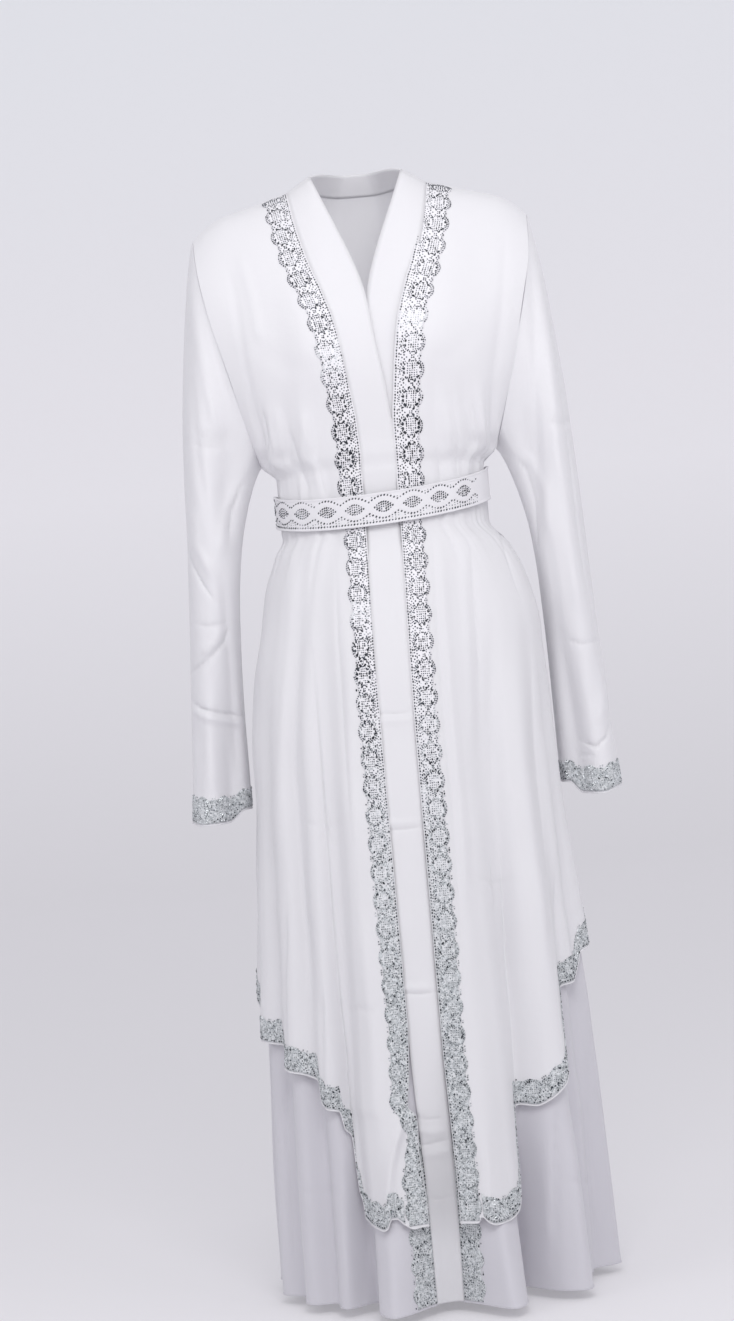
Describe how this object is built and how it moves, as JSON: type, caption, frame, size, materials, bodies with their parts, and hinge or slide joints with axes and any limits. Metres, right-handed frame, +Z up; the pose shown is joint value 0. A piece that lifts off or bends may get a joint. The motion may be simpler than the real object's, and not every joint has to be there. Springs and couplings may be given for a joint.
{
  "type": "abaya",
  "caption": "White open-front abaya with a stepped outer layer over a long underskirt, rhinestone-trimmed edges, deep sleeves and a patterned belt, in the hollow form it has when worn.",
  "frame": {"origin": "midway between the two shoulder tips, where the wearer's shoulders carry the garment", "axes": "+Z up, front towards -Y, the wearer's left towards +X"},
  "size_m": [0.5512, 0.4116, 1.3905],
  "materials": {
    "cloth": "matt crepe",
    "cloth_under": "matt crepe",
    "belt_cloth": "matt crepe with raised woven bands",
    "rhinestone_trim": "net set with clear and grey rhinestones"
  },
  "bodies": {
    "root": {"front_right": "cloth", "front_left": "cloth", "back": "cloth", "band_right": "cloth", "band_left": "cloth", "band_back_neck": "cloth", "sleeve_right": "cloth", "sleeve_left": "cloth", "underskirt_front_right": "cloth_under", "underskirt_front_left": "cloth_under", "underskirt_back": "cloth_under", "belt": "belt_cloth", "trim_front_right": "rhinestone_trim", "trim_front_left": "rhinestone_trim", "trim_hem_right": "rhinestone_trim", "trim_hem_left": "rhinestone_trim", "trim_hem_back": "rhinestone_trim", "trim_cuff_right": "rhinestone_trim", "trim_cuff_left": "rhinestone_trim", "trim_underskirt_right": "rhinestone_trim", "trim_underskirt_left": "rhinestone_trim"}
  },
  "joints": []
}
